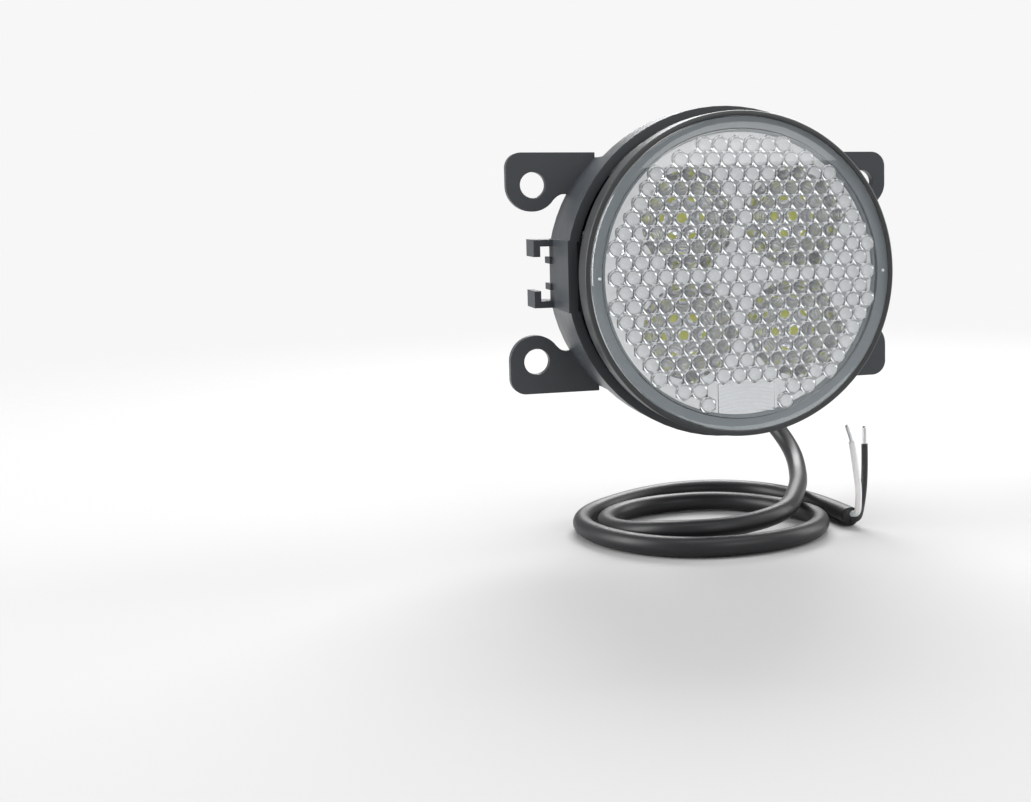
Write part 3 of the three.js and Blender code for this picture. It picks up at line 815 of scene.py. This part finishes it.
def plate_with_holes(name, outer, holes, y, thick, made):
    """A flat plate with round holes, from a filled 2-D curve; holes are (x, z, r) in mm."""
    curve = bpy.data.curves.new(name, "CURVE")
    curve.dimensions = "2D"
    curve.fill_mode = "BOTH"
    curve.extrude = thick / 2 * MM
    loops = [(0, 0, outer), *holes]
    for cx, cz, r in loops:
        count = 160 if r > 20 else 72
        line = curve.splines.new("POLY")
        line.points.add(count - 1)
        for i in range(count):
            a = 2 * math.pi * i / count
            line.points[i].co = ((cx + r * math.cos(a)) * MM, (cz + r * math.sin(a)) * MM, 0, 1)
        line.use_cyclic_u = True
    holder = bpy.data.objects.new(name, curve)
    bpy.context.scene.collection.objects.link(holder)
    holder.rotation_euler = (math.pi / 2, 0, 0)
    holder.location = (0, y * MM, 0)
    bpy.context.view_layer.update()
    graph = bpy.context.evaluated_depsgraph_get()
    data = bpy.data.meshes.new_from_object(holder.evaluated_get(graph))
    data.transform(holder.matrix_world)
    bpy.data.objects.remove(holder)
    plate = bpy.data.objects.new(name, data)
    bpy.context.scene.collection.objects.link(plate)
    data.materials.clear()
    data.materials.append(made)
    return sharp_by_angle(plate, 30)


CUP = {"x": 16.0, "z": 15.6, "mouth": 14.1, "throat": 4.3, "front": -36.3, "back": -25.6, "ripple": 0.14}
CUP_PLACES = {"upper_left": (-1, 1), "upper_right": (1, 1), "lower_left": (-1, -1), "lower_right": (1, -1)}
LED_R = 3.9


def finish_piece(made, node):
    """Hides the CAD node that a piece of the lamp stands for, and puts the piece on the lamp's body."""
    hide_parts(node)
    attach(made, "lamp")


def make_lens():
    r, front, pane = LENS["r"], LENS["front"], LENS["pane"]
    profile = [
        (0, front), (r - 2.0, front), (r - 1.5, front + 0.12), (r - 0.3, front + 0.7), (r, front + 1.1),
        (r, -37.5), (41.8, -37.5), (41.6, -37.7), (41.4, pane), (0, pane),
    ]
    optics = closed_sheet("lens_optics", lenslet_cells())
    ribs = closed_sheet("lens_ribs", ribbed_cells())
    cover = lathe("lens_cover", profile, LENS_CLEAR, 192, angle=25)
    for clear in (optics, ribs, cover):
        finish_piece(clear, "lens")
        clear.visible_shadow = False  # so that the lights reach what is behind the lens
    pip_profile = [
        (0, front - 0.12), (0.3, front - 0.08), (0.42, front + 0.05), (0.42, front + 0.4), (0, front + 0.4),
    ]
    for side, name in ((-1, "left"), (1, "right")):
        pip = lathe("lens_pip_" + name, pip_profile, WHITE_INSULATION, 20, side * 43, 0)
        finish_piece(pip, "lens")


def make_cup(place, x, z):
    """A reflector cup of nine faint steps, with its LED."""
    profile = [(0, CUP["back"])]
    steps = 9
    for i in range(steps * 4 + 1):
        t = i / (steps * 4)
        r = CUP["throat"] + (CUP["mouth"] - CUP["throat"]) * t**0.62
        ripple = CUP["ripple"] * math.sin(2 * math.pi * t * steps)
        profile.append((r + ripple, CUP["back"] + (CUP["front"] - CUP["back"]) * t))
    cup = lathe("cup_" + place, profile, SILVER_PAINTED_REFLECTIONS, 96, x, z, angle=60)
    finish_piece(cup, "reflector_cup_" + place)
    led_profile = [
        (0, -26.3), (2.2, -26.25), (3.4, -26.1), (3.8, -25.85), (LED_R, -25.6), (LED_R, -25.3), (0, -25.3),
    ]
    led = lathe("led_dome_" + place, led_profile, LED_YELLOW, 32, x, z, angle=60)
    finish_piece(led, "led_" + place)


def make_optics():
    make_lens()
    holes = [(sx * CUP["x"], sz * CUP["z"], CUP["mouth"]) for sx, sz in CUP_PLACES.values()]
    plate = plate_with_holes("reflector_plate_visual", 40.6, holes, -36.6, 0.8, SILVER_PLATE)
    finish_piece(plate, "reflector_plate")
    rim_profile = [(40.7, -37.3), (45.2, -37.3), (45.2, -36.8), (40.7, -36.8)]
    rim = lathe("rim_backing", rim_profile, RIM_GREY, 160, closed=True)
    finish_piece(rim, "lens_gasket")
    for place, (sx, sz) in CUP_PLACES.items():
        make_cup(place, sx * CUP["x"], sz * CUP["z"])


make_optics()

# ---------------------------------------------------------------- bracket and small pieces


def make_bracket():
    """The bracket's visual: a copy of its CAD mesh, merged and cleaned, with softly shaded edges."""
    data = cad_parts["bracket"].data.copy()
    shape = bpy.data.objects.new("bracket_moulding", data)
    bpy.context.scene.collection.objects.link(shape)
    mesh = bmesh.new()
    mesh.from_mesh(data)
    bmesh.ops.remove_doubles(mesh, verts=mesh.verts, dist=1e-6)
    bmesh.ops.dissolve_limit(mesh, angle_limit=math.radians(0.5), verts=mesh.verts, edges=mesh.edges)
    mesh.to_mesh(data)
    mesh.free()
    data.materials.clear()
    data.materials.append(BRACKET)
    data.polygons.foreach_set("use_smooth", [True] * len(data.polygons))
    sharp_by_angle(shape, 30)
    weighted = shape.modifiers.new("weighted", "WEIGHTED_NORMAL")
    weighted.keep_sharp = True
    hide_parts("bracket")
    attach(shape, "bracket")


make_bracket()


def make_boot():
    profile = [
        (3.0, 5.3), (6.4, 5.3), (6.55, 5.6), (6.55, 6.5), (6.2, 6.9), (5.8, 7.3), (5.7, 8.2), (5.6, 10.6),
        (5.3, 11.7), (4.7, 12.5), (4.0, 12.95), (3.4, 13.0), (3.05, 12.7), (3.0, 12.2),
    ]
    boot = lathe("cable_boot_visual", profile, RUBBER, 64, closed=True, angle=50)
    finish_piece(boot, "cable_boot")


make_boot()

NODE_LOOKS = {
    STEEL: [
        "bracket_screw_left", "bracket_screw_right", "adjuster_screw", "adjuster_clip", "pivot_pin_left",
        "pivot_pin_right", "board_screw_1", "board_screw_2", "board_screw_3", "board_screw_4",
    ],
    NYLON: ["pivot_bearing_left", "pivot_bearing_right", "terminal_block", "adjuster_nut"],
    BOARD: ["led_board", "driver_board"],
    PAD: ["thermal_pad"],
    CHIP: ["driver_inductor", "driver_chip"],
    CAN: ["driver_capacitor"],
    JACKET: ["cable_entry"],
}


def dress_nodes():
    """Materials and smooth shading for the CAD nodes that are shown as they are."""
    for made, names in NODE_LOOKS.items():
        for name in names:
            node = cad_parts[name]
            node.data.materials.clear()
            node.data.materials.append(made)
            node.data.polygons.foreach_set("use_smooth", [True] * len(node.data.polygons))
            node.data.set_sharp_from_angle(angle=math.radians(30))


dress_nodes()

# ---------------------------------------------------------------- floor and light

FLOOR_Z = -0.0812
FLOOR_HALF = 1.6
FLOOR_FADE = (0.12, 0.75)  # how far from the origin it starts to fade, and where it is gone
WORLD = {"seen": 0.93, "light": 0.36}  # how bright it looks, and how much it lights
LIGHTS = {  # place in metres, size in metres, power in watts
    "top": ((0.0, -0.15, 1.1), (1.0, 0.8), 6.0),
    "front": ((0.35, -1.15, 0.55), (0.8, 0.6), 4.0),
    "left": ((-1.05, 0.10, 0.30), (0.45, 0.9), 11.0),
    "right": ((1.0, 0.0, 0.35), (0.4, 0.9), 6.0),
    "rear": ((0.30, 0.85, 0.75), (0.8, 0.5), 17.0),
}


def make_floor():
    """A plain pale floor that fades into the pale surroundings away from the lamp."""
    verts = [(x * FLOOR_HALF, y * FLOOR_HALF, FLOOR_Z) for x, y in ((-1, -1), (1, -1), (1, 1), (-1, 1))]
    look = material("floor_pale", (0.50, 0.50, 0.50), 0.75, Specular_IOR_Level=0.1)
    tree = look.node_tree
    place = tree.nodes.new("ShaderNodeTexCoord")
    reach = tree.nodes.new("ShaderNodeVectorMath")
    reach.operation = "LENGTH"
    fade = tree.nodes.new("ShaderNodeMapRange")
    fade.interpolation_type = "SMOOTHSTEP"
    fade.inputs["From Min"].default_value = FLOOR_FADE[0]
    fade.inputs["From Max"].default_value = FLOOR_FADE[1]
    fade.inputs["To Min"].default_value = 1.0
    fade.inputs["To Max"].default_value = 0.0
    tree.links.new(place.outputs["Object"], reach.inputs[0])
    tree.links.new(reach.outputs["Value"], fade.inputs["Value"])
    tree.links.new(fade.outputs["Result"], tree.nodes["Principled BSDF"].inputs["Alpha"])
    new_object("floor", verts, [[0, 1, 2, 3]], look, smooth=False)


def area_light(name, place, size, power):
    """A soft light that faces the lamp."""
    data = bpy.data.lights.new(name, "AREA")
    data.shape = "RECTANGLE"
    data.size, data.size_y = size
    data.energy = power
    lamp = bpy.data.objects.new(name, data)
    lamp.location = place
    lamp.rotation_euler = (Vector((0, 0, -0.02)) - Vector(place)).to_track_quat("-Z", "Y").to_euler()
    lamp.visible_camera = False
    bpy.context.scene.collection.objects.link(lamp)


def make_world():
    """Pale surroundings, which light the lamp less than they look."""
    world = bpy.data.worlds.new("world")
    bpy.context.scene.world = world
    world.use_nodes = True
    tree = world.node_tree
    background = tree.nodes["Background"]
    background.inputs["Color"].default_value = (1, 1, 1, 1)
    eye = tree.nodes.new("ShaderNodeLightPath")
    pick = tree.nodes.new("ShaderNodeMix")
    pick.inputs["A"].default_value = WORLD["light"]
    pick.inputs["B"].default_value = WORLD["seen"]
    tree.links.new(eye.outputs["Is Camera Ray"], pick.inputs["Factor"])
    tree.links.new(pick.outputs["Result"], background.inputs["Strength"])


def make_light():
    make_floor()
    make_world()
    for name, settings in LIGHTS.items():
        area_light(name, *settings)
    bpy.context.scene.view_settings.view_transform = "Standard"


make_light()
